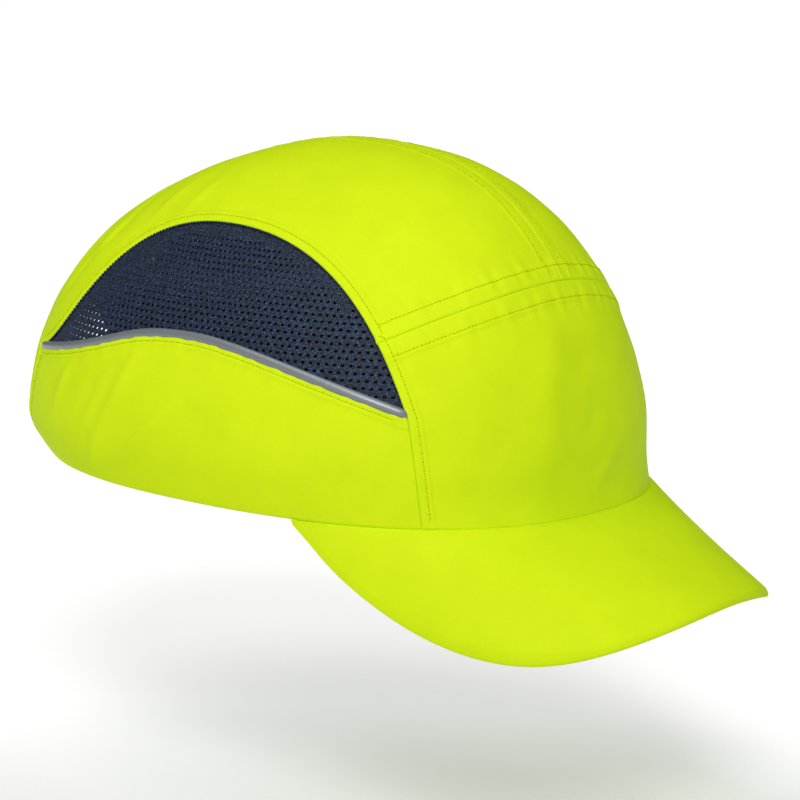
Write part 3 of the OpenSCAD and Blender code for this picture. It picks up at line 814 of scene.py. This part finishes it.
def knit_sheet(name, flip):
    """Knit with rows of staggered round holes, each cell a ring round its hole."""
    pitch, row_h, hole_w, hole_h, thick = 2.75, 2.35, 1.3, 0.85, 0.34
    # The insert goes on by turn_in under the cloth round it
    turn_in, spare = 2.3, 3
    # Cells are laid out by length along the insert and by height up it, then wrapped on the crown
    guide_angles = np.linspace(30, 150, 241)
    along = distances(crown(guide_angles, slope_of(44)))
    slopes = np.linspace(20, 90, 141)
    up = distances(crown(92, slopes))
    border = np.concatenate([mesh_edge, piping[::-1]])
    angle, slope = place_of(border)
    flat_border = np.stack([np.interp(angle, guide_angles, along), np.interp(slope, slopes, up)], -1)

    def inside(p, margin):
        """True where a point lies within the border, or closer to it than the margin."""
        a, b = flat_border, np.roll(flat_border, -1, 0)
        crossing = (a[:, 1] > p[1]) != (b[:, 1] > p[1])
        x = a[:, 0] + (p[1] - a[:, 1]) * (b[:, 0] - a[:, 0]) / np.where(crossing, b[:, 1] - a[:, 1], 1)
        return np.count_nonzero(crossing & (x > p[0])) % 2 == 1 or np.hypot(*(a - p).T).min() < margin

    low, high = flat_border.min(0) - spare, flat_border.max(0) + spare
    corner = np.array(((1, 0), (1, 1), (0.5, 1), (0, 1), (-0.5, 1), (-1, 1),
                       (-1, 0), (-1, -1), (-0.5, -1), (0, -1), (0.5, -1), (1, -1))) * (pitch / 2, row_h / 2)
    turn = np.arctan2(corner[:, 1] / row_h, corner[:, 0] / pitch)
    slant = math.radians(20)
    hole = np.stack([np.cos(turn) * hole_w / 2, np.sin(turn) * hole_h / 2], -1)
    hole = hole @ np.array(((math.cos(slant), math.sin(slant)), (-math.sin(slant), math.cos(slant))))
    reach_x = (flat_border[:, 0].min(), flat_border[:, 0].max())

    def share_along(x):
        return (x - reach_x[0]) / (reach_x[1] - reach_x[0])

    def middle_line(x):
        """Height of the middle of the insert, a little below half way."""
        return low[1] + spare + (high[1] - low[1] - 2 * spare) * (0.4 - 0.9 * (share_along(x) - 0.56) ** 2)

    points, faces, depths = [], [], []
    for j in range(int((high[1] - low[1]) / row_h)):
        for i in range(int((high[0] - low[0]) / pitch)):
            c = low + ((i + 0.5 * (j % 2)) * pitch, j * row_h)
            if not inside(c, turn_in):
                continue
            wobble = 0.08 * np.array((math.sin(i * 12.9 + j * 4.1), math.sin(i * 3.7 + j * 9.2)))
            base = 48 * len(points)
            # The knit is drawn tighter in a band along its middle, where it rests on the shell
            tight = 1 - 0.32 * math.exp(-((c[1] - middle_line(c[0])) / 5.5) ** 2)
            tight *= 1 - 0.45 * smooth((share_along(c[0]) - 0.7) / 0.15)
            points.append(np.concatenate([c + corner, c + wobble + (corner + hole) / 2 * (0.92, 0.95),
                                          c + wobble + hole * tight * 1.25, c + wobble + hole * tight]))
            depths.append(np.repeat((0.0, -0.05, 0.02, thick / 2), 12))
            faces.append(tube_quads(base + np.arange(48).reshape(4, 12)))
    flat, depths, faces = np.concatenate(points), np.concatenate(depths), np.concatenate(faces)
    angle = np.interp(flat[:, 0], along, guide_angles)
    slope = np.interp(flat[:, 1], up, slopes)
    skin = crown(angle, slope)
    out = normal_at(skin)
    middle = MESH_DEPTH + thick / 2 - 0.12 * rumple(skin, 30, 8)[:, None]
    outer = skin - out * (middle - thick / 2 + depths[:, None])
    inner = skin - out * (middle + thick / 2 - depths[:, None])
    verts = np.concatenate([outer, inner])
    if flip:
        verts = mirrored(verts)
    both_sides = np.concatenate([faces, faces[:, ::-1] + len(skin)])
    obj = piece(name, verts, both_sides, knit, "mesh", crease=80, weld=True)


MESH_DEPTH = 0.95
knit_sheet("mesh_insert_right", False)
knit_sheet("mesh_insert_left", True)

# Loops of the knit that show along the edge of the cloth
border_line, border_out = row_on(mesh_edge, -0.2)
dashes("mesh_edge_loops", both([(border_line - border_out * 0.55, border_out)]), knit, "mesh", pitch=1.35,
       share_of=0.66, radius=0.34, first=0.5, sink=0.3)


# ---- Peak ----

def peak_share(s):
    """Share of the peak's full reach at a place s along the hem, which runs from -1 to 1."""
    return (1 - np.abs(s) ** 4.25) ** 1.09


PEAK_SPREAD, PEAK_FALL_2, PEAK_FALL_4 = 0.14, 48.4, 2.2
ROLL, EDGE_T, COVER_T = 2.2, 3.4, 0.42


def peak_top(s, t):
    """Points of the peak's upper side, at a share t of the way from the hem to its edge."""
    foot = crown(s * PEAK_HALF_ANGLE, HEM)
    angle = np.radians(-s * PEAK_HALF_ANGLE * PEAK_SPREAD)
    reach = PEAK_REACH * peak_share(s) * t
    drop = (PEAK_FALL + PEAK_FALL_2 * s * s + PEAK_FALL_4 * s ** 4) * peak_share(s) * t
    return foot + np.stack([-np.sin(angle) * reach, -np.cos(angle) * reach, -drop], -1)


def cover_path(s, reach, extra):
    """Rows of the top cover from under the hem, over the edge and back, at a depth extra under its face."""
    foot = crown(s * PEAK_HALF_ANGLE, HEM, 2.2) + UP * (0.2 - extra)
    near_hem = crown(s * PEAK_HALF_ANGLE, HEM, 0.7) - UP * (0.6 + extra)
    rows = [foot[:, 0], near_hem[:, 0]]
    roll = np.minimum(ROLL, 0.42 * reach)
    flat_end = 1 - roll / reach
    for v in np.concatenate([(0.015, 0.035, 0.06, 0.09), np.linspace(0.13, 0.9, 26), (0.93, 0.96, 0.98, 1)]):
        p = peak_top(s, v * flat_end)[:, 0]
        tucked = 0.5 * np.exp(-(v * reach / 1.5) ** 2)
        rows.append(p + (peak_waves(p, v)[:, None] - tucked - extra) * UP)
    edge_s = peak_top(s, 1.0)[:, 0]
    inner_s = peak_top(s, flat_end)[:, 0]
    over = edge_s - inner_s
    drop = edge_thickness(s, reach) / 2
    for turn in np.radians(np.linspace(12, 180, 14)):
        rows.append(inner_s + over * ((1 - extra / ROLL) * np.sin(turn))
                    - UP * (drop - (drop - extra) * np.cos(turn)))
    for back, lift in ((0.3, 0.05), (0.6, 0.2), (0.75, 0.7), (1.0, 1.1)):
        rows.append(inner_s - over * back - UP * (2 * drop - extra - lift))
    return np.stack(rows, 1)


def edge_thickness(s, reach):
    """Height of the peak's rolled edge: more where the cloth gathers at its corners, less at its tips."""
    gathered = 1 + 0.35 * np.exp(-((np.abs(s) - 0.62) / 0.16) ** 2)
    return EDGE_T * gathered * (0.4 + 0.6 * smooth(reach / 12))


def peak_waves(p, v):
    """Gentle unevenness of the peak's top, which dies out at the hem and at the edge."""
    return 0.16 * rumple(p, 60, 17) * smooth(v / 0.3) * smooth((1 - v) / 0.2)


def peak_uv(grid):
    """Places on the peak in metres, seen from above in its middle and from the side at its ends."""
    x, y, z = (grid[..., k] for k in range(3))
    across = x - z * np.sign(x) * smooth((np.abs(x) - 20) / 50)
    return np.stack([across, y], -1).reshape(-1, 2) * MM


s = 0.9945 * crowded(150, 0.55)[:, None]
reach = peak_share(s) * PEAK_REACH
outer = cover_path(s, reach, 0.0)
inner = cover_path(s, reach, COVER_T)
piece("peak_top_cover", *closed(outer, inner), cloth, "cloth", uv=peak_uv(outer))

under_rows = []
for v in np.concatenate([(0.0,), np.linspace(0.03, 1, 30)]):
    end = 1 - np.minimum(1.75 * ROLL, 0.8 * reach) / reach
    p = peak_top(s, v * end)[:, 0]
    sink = edge_thickness(s, reach) - 0.6 - 0.3 * smooth((v - 0.96) / 0.04) - 0.5 * (v == 0)
    uneven = 0.1 * rumple(p, 40, 23)[:, None] * (v < 0.9)
    under_rows.append(p + UP * (uneven - sink))
under = np.stack(under_rows, 1)
solid = closed(under + UP * COVER_T, under)
piece("peak_under_cover", *solid, cloth, "cloth", uv=peak_uv(under))

# The board stops short of the rolled edge and of the two tips of the peak
board_s = np.linspace(-0.9, 0.9, 90)[:, None]
board_reach = peak_share(board_s) * PEAK_REACH
BOARD_TOP, BOARD_T, BOARD_INSET = 0.85, 1.4, 3.4
board_top = np.stack([peak_top(board_s, v * (1 - BOARD_INSET / board_reach))[:, 0] - UP * BOARD_TOP
                      for v in np.linspace(0.02, 1, 24)], 1)
piece("peak_board", *closed(board_top, board_top - UP * BOARD_T), board, "board")

roll_end = peak_top(s, 1 - np.minimum(1.15 * ROLL, 0.5 * reach) / reach)[:, 0]
edge_row = roll_end - UP * (edge_thickness(s, reach) + THREAD_LIFT)
# The row of stitches ends where the peak gets too short for it
edge_row = resample(edge_row[reach[:, 0] > 26], np.linspace(0, 1, 200))
stitches("stitches_peak_edge", [(edge_row, np.tile(-UP, (200, 1)))], *CLOTH_THREADS, pitch=3.0)


# ---- Sweatband ----

def wrap(name, angles, heights, depth, thick, look, slot, body="cap", squareness=4, cols=200, rows=40, seed=1,
         lumps=0.0, as_sheet=True):
    """A band or pad on the crown between two angles and heights, its edges rounded off."""
    u, w = crowded(cols, 0.25), crowded(rows, 0.5)
    angle = (angles[0] + angles[1]) / 2 + (angles[1] - angles[0]) / 2 * u[:, None]
    z = (heights[0] + heights[1]) / 2 + (heights[1] - heights[0]) / 2 * w[None]
    angle, z = np.broadcast_arrays(angle, z)
    edge = (1 - np.abs(w[None]) ** squareness) * (1 - np.abs(u[:, None]) ** (squareness * 6))
    share_of = np.maximum(np.sqrt(np.clip(edge, 0, 1)), 0.12)
    middle = depth + thick / 2
    base = crown(angle, slope_of(z))
    lump = lumps * rumple(base, 14, seed)
    outer = crown(angle, slope_of(z), middle - thick / 2 * share_of)
    inner = crown(angle, slope_of(z), middle + (thick / 2 + lump) * share_of)
    obj = piece(name, *closed(outer, inner), look, slot, body=body, uv=grid_uv(outer), crease=70)
    return obj


wrap("sweatband", (-151, 151), (2, 34), BAND_D, BAND_T, terry, "terry", lumps=0.12, cols=400, seed=4)
band_pad = wrap("sweatband_foam", (-110, 110), (5, 31), 1.2, 1.8, band_foam, "band_foam", cols=240,
                as_sheet=False)


def band_row(z):
    """A row of stitches along the inner face of the sweatband."""
    angle = np.linspace(-149, 149, 400)
    line = crown(angle, slope_of(z), BAND_D + BAND_T + THREAD_LIFT)
    return line, -normal_at(crown(angle, slope_of(z)))


stitches("stitches_sweatband", [band_row(31.5), band_row(4.5)], dark_thread, dark_thread, "terry", radius=0.2)


# ---- Hook-and-loop adjuster ----

# Where the loop strap sinks from its root to its place under the hook strap
SINK_FROM, SINK_W = 38, 10
PATCH_SPAN = (0.1, 0.9)
STACK_D = STRAP_D + STRAP_T + LAYER_GAP
FOLD_W, FOLD_GIRTH = 2.4, 7.5


def rear_band(name, x0, x1, depth, thick, look, slot, body="cap", span=(0, 1), root_depth=None):
    """A band across the rear, straight from its upper to its lower edge; x counts to the wearer's right.
    span is the share of the straps' height that it covers."""
    x = np.linspace(x0, x1, 120)[:, None]
    w = crowded(36, 0.5)
    shares = span[0] + (span[1] - span[0]) * (w[None] + 1) / 2
    root = depth if root_depth is None else root_depth
    depth = root + (depth - root) * np.clip((x + SINK_FROM) / SINK_W, 0, 1)
    half = thick / 2 * np.maximum(np.sqrt(1 - np.abs(w[None]) ** 8), 0.3)

    def side(sign):
        d = depth + thick / 2 + sign * half
        top, foot = from_rear(x + 0 * d, STRAP_TOP, d), from_rear(x + 0 * d, STRAP_FOOT, d)
        return top * (1 - shares[..., None]) + foot * shares[..., None]
    outer, inner = side(-1), side(1)
    piece(name, *closed(outer, inner), look, slot, body=body, uv=grid_uv(outer), crease=70)


LOOP_D = STACK_D + 2 * PATCH_T + 2 * LAYER_GAP
rear_band("loop_strap", LOOP_END, -ROOT_END, LOOP_D, STRAP_T, webbing, "webbing", root_depth=STRAP_D)
rear_band("loop_patch", LOOP_END - 2, -22, LOOP_D - PATCH_T, PATCH_T, loops, "loop", span=PATCH_SPAN)
rear_band("hook_strap_root", ROOT_END, HINGE_X + 2, STRAP_D, STRAP_T, webbing, "webbing")
rear_band("hook_strap", HINGE_X - 1.4, -HOOK_END, STRAP_D, STRAP_T, webbing, "webbing", body="strap")
rear_band("hook_patch", 20, 2 - HOOK_END, STACK_D, PATCH_T, hooks, "hook", body="strap", span=PATCH_SPAN)

fold_head = from_rear(HINGE_X, STRAP_TOP, STRAP_D + STRAP_T / 2)
fold_foot = from_rear(HINGE_X, STRAP_FOOT, STRAP_D + STRAP_T / 2)
STATIONS, SIDES = 30, 24
even = np.linspace(0, 1, STATIONS)
fold_line = fold_foot + (fold_head - fold_foot) * even[:, None]
# The fold is a round bar, a little thinner at its two ends
taper = np.sqrt(1 - np.abs(np.linspace(-1, 1, STATIONS)) ** 14) * 0.12 + 0.88
verts, faces = swept(fold_line, np.tile((0, 1.0, 0), (STATIONS, 1)), oval(FOLD_W, FOLD_W, SIDES))
spine = np.repeat(fold_line, SIDES, 0)
verts = spine + (verts - spine) * np.repeat(taper, SIDES)[:, None]
around = np.tile(np.arange(SIDES) * FOLD_GIRTH / SIDES, STATIONS)
piece("strap_fold", verts, faces, webbing, "webbing", body="strap", crease=60,
      uv=np.stack([np.repeat(even * (STRAP_TOP - STRAP_FOOT), SIDES), around], -1) * MM)


# ---- Hard shell ----

def rim_z(angle):
    rise = smooth((np.abs(angle) - RIM_RISE_FROM) / RIM_RISE_W)
    return SHELL_RIM_FRONT + (SHELL_RIM_REAR - SHELL_RIM_FRONT) * rise


# About how much of the shell's wall one row of the grid covers
MM_PER_ROW = 9.0


def hard_shell():
    """Vertices, quads and triangles of the vented shell: a polar grid with rings round its rounded slots."""
    sub, cols, rows = 6, 40, 10
    n_around = cols * sub
    vents = [(i, 6, 2) for i in (3, 13, 26, 36)] + [(i, 5, 2) for i in (5, 15, 24, 34)]
    vents += [(i, 4, 1) for i in (1, 8, 11, 18, 21, 28, 31, 38)]
    taken = np.zeros((cols, rows), bool)
    for i, j, tall in vents:
        taken[i, j:j + tall] = True
    points, edge, faces = [], [], []

    def put(i, j, e):
        """Adds a point at a column and row, with its distance from the nearest edge of the shell."""
        points.append((i, j))
        edge.append(e)
        return len(points) - 1

    # Rows stop short of the top, which is closed by a fan, and crowd together at the rim
    steps_down = np.concatenate([np.linspace(0.25, rows - 0.5, sub * rows - 4),
                                 rows - np.array((0.33, 0.2, 0.12, 0.06, 0.025, 0.0))])
    row_of = np.minimum(((steps_down[:-1] + steps_down[1:]) / 2).astype(int), rows - 1)
    rim_gap = (rows - steps_down) * MM_PER_ROW
    seen = {}
    for j, row in enumerate(row_of):
        for i in range(n_around):
            if taken[i // sub, row]:
                continue
            quad = []
            for di, dj in ((0, 0), (0, 1), (1, 1), (1, 0)):
                key = ((i + di) % n_around, j + dj)
                if key not in seen:
                    seen[key] = put(key[0] / sub, steps_down[key[1]], rim_gap[key[1]])
                quad.append(seen[key])
            faces.append(quad)
    top = put(0, 0, 99)
    for i in range(n_around):
        faces.append([top, seen[(i, 0)], seen[((i + 1) % n_around, 0)]])
    # The ragged gap that the grid leaves at each vent is bridged to a rounded slot
    for i, j, tall in vents:
        js = [k for k, row in enumerate(row_of) if j <= row < j + tall]
        a, b, c, d = i * sub, (i + 1) * sub, js[0], js[-1] + 1
        loop = ([(k, c) for k in range(a, b)] + [(b, k) for k in range(c, d)]
                + [(k, d) for k in range(b, a, -1)] + [(a, k) for k in range(d, c, -1)])
        ring = [seen[(k % n_around, m)] for k, m in loop]
        spots = np.array([(k / sub, steps_down[m]) for k, m in loop])
        middle = (spots.min(0) + spots.max(0)) / 2
        reach = (spots.max(0) - spots.min(0)) / 2
        way = (spots - middle) / reach
        for share_of, e in ((0.96, 0.84), (0.91, 0.54), (0.87, 0.3), (0.84, 0.12), (0.82, 0.0)):
            size = (np.abs(way[:, 0]) ** 3.4 + np.abs(way[:, 1]) ** 3.4) ** (-1 / 3.4)
            near_slot = middle + way * size[:, None] * reach * share_of
            new = [put(*p, e) for p in near_slot]
            for k in range(len(ring)):
                m = (k + 1) % len(ring)
                faces.append([ring[k], ring[m], new[m], new[k]])
            ring = new
    at, e = np.array(points), np.array(edge)
    angle = at[:, 0] * 360 / cols
    folded = (angle + 180) % 360 - 180
    slope = slope_of(rim_z(folded)) * at[:, 1] / rows
    radius = SHELL_T / 2
    cut = radius - np.sqrt(np.clip(radius ** 2 - np.clip(radius - e, 0, radius) ** 2, 0, None))
    outer = crown(angle, slope, SHELL_D + cut)
    inner = crown(angle, slope, SHELL_D + SHELL_T - cut)
    verts = np.concatenate([outer, inner])
    quads = np.array([f for f in faces if len(f) == 4])
    triangles = np.array([f for f in faces if len(f) == 3])
    n = len(at)
    return (verts, np.concatenate([quads, quads[:, ::-1] + n]),
            np.concatenate([triangles, triangles[:, ::-1] + n]))


verts, faces, triangles = hard_shell()
piece("inner_shell", verts, faces, plastic, "shell", body="liner", triangles=triangles, weld=True, crease=70)


# ---- Foam pads ----

def pad(name, angles, heights, cols, rows, seed):
    """A foam pad on the inner face of the shell."""
    made = wrap(name, angles, heights, PAD_D, PAD_T, foam, "pad", body="liner", squareness=7, cols=cols,
                rows=rows, seed=seed, lumps=0.1, as_sheet=False)


pad("front_pad", (-30, 30), (46, 80), 90, 60, 41)
pad("rear_pad", (152, 208), (68, 96), 90, 56, 42)
pad("side_pad_right", (68, 106), (54, 80), 70, 50, 43)
pad("side_pad_left", (-106, -68), (54, 80), 70, 50, 44)


def crown_pad():
    """A round pad under the top of the shell."""
    around = 96
    turn = np.linspace(0, 360, around + 1)[:-1, None]
    t = np.sin(np.linspace(0.02, 1, 30) * np.pi / 2)[None]
    share_of = np.maximum(np.sqrt(1 - t ** 9), 0.1)
    middle = PAD_D + PAD_T / 2
    slope = 26 * t + 0 * turn
    outer = crown(turn, slope, middle - PAD_T / 2 * share_of)
    lump = 0.12 * rumple(crown(turn, slope), 14, 45)
    inner = crown(turn, slope, middle + (PAD_T / 2 + lump) * share_of)
    verts, faces = closed(outer, inner, wrap=True)
    # The two small rings round the middle are closed by fans
    rows, n = t.shape[1], outer.shape[0] * outer.shape[1]
    centres = np.array((crown(0, 0.05, PAD_D), crown(0, 0.05, PAD_D + PAD_T)))
    faces = np.concatenate([faces[:len(faces) - 2 * around], faces[len(faces) - around:]])
    triangles = [[2 * n, k * rows, (k + 1) % around * rows] for k in range(around)]
    triangles += [[2 * n + 1, n + (k + 1) % around * rows, n + k * rows] for k in range(around)]
    made = piece("crown_pad", np.concatenate([verts, centres]), faces, foam, "pad", body="liner",
                 triangles=triangles, crease=70)


crown_pad()


# ---- Camera, light and floor ----

TARGET, DISTANCE = Vector((0, -23.024, 24.515)) * MM, 888.739 * MM
BEARING, ELEVATION, TILT = (math.radians(v) for v in (53.392, 10.409, 2.215))
back = Vector((-math.sin(BEARING) * math.cos(ELEVATION), -math.cos(BEARING) * math.cos(ELEVATION),
               math.sin(ELEVATION)))
level = Vector((math.cos(BEARING), -math.sin(BEARING), 0))
upright = level.cross(-back)
right = level * math.cos(TILT) + upright * math.sin(TILT)
up = -level * math.sin(TILT) + upright * math.cos(TILT)
lens = bpy.data.cameras.new("camera")
lens.lens, lens.sensor_width, lens.clip_end = 115.15, 36, 20
camera = bpy.data.objects.new("camera", lens)
turned = Matrix((right, up, back)).transposed().to_4x4()
camera.matrix_world = Matrix.Translation(TARGET + back * DISTANCE) @ turned
bpy.context.scene.collection.objects.link(camera)
bpy.context.scene.camera = camera


def area_light(name, place, power, size):
    """A soft square light at a place in metres, aimed at the cap."""
    data = bpy.data.lights.new(name, "AREA")
    data.energy, data.size = power, size
    light = bpy.data.objects.new(name, data)
    light.location = place
    light.rotation_euler = (Vector((0, 0, 0.04)) - Vector(place)).to_track_quat("-Z", "Y").to_euler()
    bpy.context.scene.collection.objects.link(light)


area_light("key", (-1.08, -0.86, 1.2), 20.0, 0.7)
area_light("side", (-1.6, 0.4, 0.3), 0.8, 1.0)
area_light("overhead", (-0.55, 0.2, 1.6), 8.5, 1.0)

world = bpy.data.worlds.new("studio")
bpy.context.scene.world = world
world.use_nodes = True
world.node_tree.nodes["Background"].inputs["Color"].default_value = (1, 1, 1, 1)
world.node_tree.nodes["Background"].inputs["Strength"].default_value = 0.05

FLOOR_Z = -110 * MM
floor_look = Look("floor", (0.68, 0.68, 0.68), 0.95, Emission_Color=(1, 1, 1, 1))
# The floor glows behind the cap and far off, where the lamps no longer reach it
AWAY = (math.sin(BEARING), math.cos(BEARING), 0)
place = floor_look.place()
behind = floor_look.node("VectorMath", operation="DOT_PRODUCT", i0=place, i1=AWAY).outputs["Value"]
far = floor_look.node("VectorMath", operation="LENGTH", i0=place).outputs["Value"]
GLOWS = ((behind, -0.25, 0.06, 0.65), (behind, 0.06, 0.8, 0.34), (far, 0.45, 1.4, 0.85))
glow = [floor_look.node("MapRange", i0=distance, i1=start, i2=end, i3=0.0, i4=full).outputs[0]
        for distance, start, end, full in GLOWS]
glow = floor_look.maths("MAXIMUM", floor_look.maths("ADD", glow[0], glow[1]), glow[2])
floor_look.links.new(glow, floor_look.shader.inputs["Emission Strength"])
FLOOR_REACH = 30
mesh = bpy.data.meshes.new("floor")
corners = [(x * FLOOR_REACH, y * FLOOR_REACH, FLOOR_Z) for x, y in ((-1, -1), (1, -1), (1, 1), (-1, 1))]
mesh.from_pydata(corners, [], [(0, 1, 2, 3)])
mesh.materials.append(floor_look.material)
floor = bpy.data.objects.new("floor", mesh)
bpy.context.scene.collection.objects.link(floor)

bpy.context.scene.view_settings.view_transform = "Standard"
